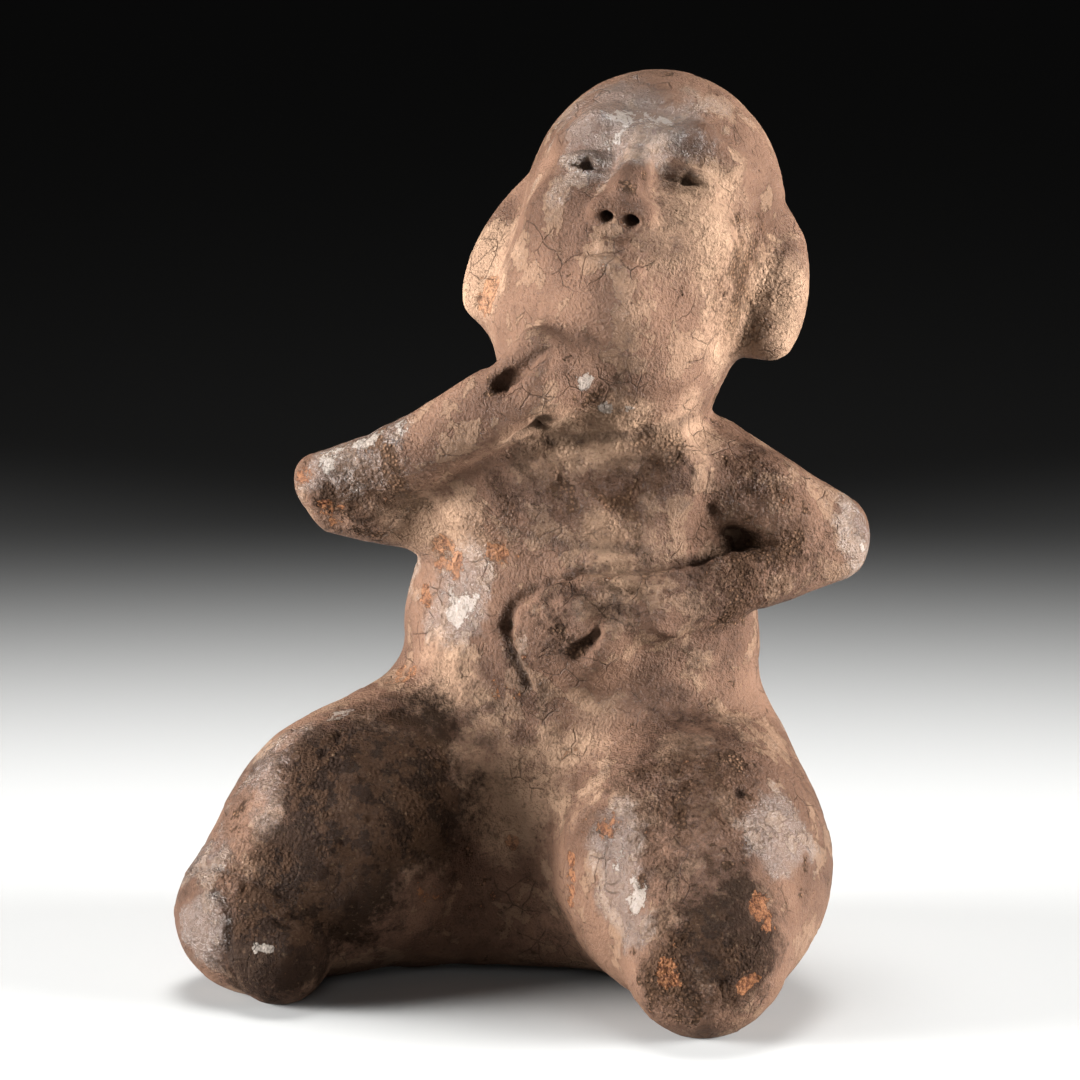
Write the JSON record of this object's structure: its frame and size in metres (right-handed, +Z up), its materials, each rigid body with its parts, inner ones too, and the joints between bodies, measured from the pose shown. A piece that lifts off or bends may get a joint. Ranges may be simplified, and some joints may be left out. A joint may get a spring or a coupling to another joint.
{
  "type": "clay rattle figure",
  "caption": "Hollow fired-clay figure of a kneeling person, a hand raised to the chin and the other laid on the belly, made to be shaken as a rattle and to stand on its seat and knees.",
  "frame": {"origin": "centre of the bounding box in X and Y, on the floor plane under the seat and knees", "axes": "+Z up through the head, -Y the way the figure looks, +X its own left side"},
  "size_m": [0.0838, 0.0704, 0.1163],
  "materials": {
    "fired_clay": "burnished grey-brown slip over orange clay, worn and stained"
  },
  "bodies": {
    "root": {"figure": "fired_clay"}
  },
  "joints": []
}
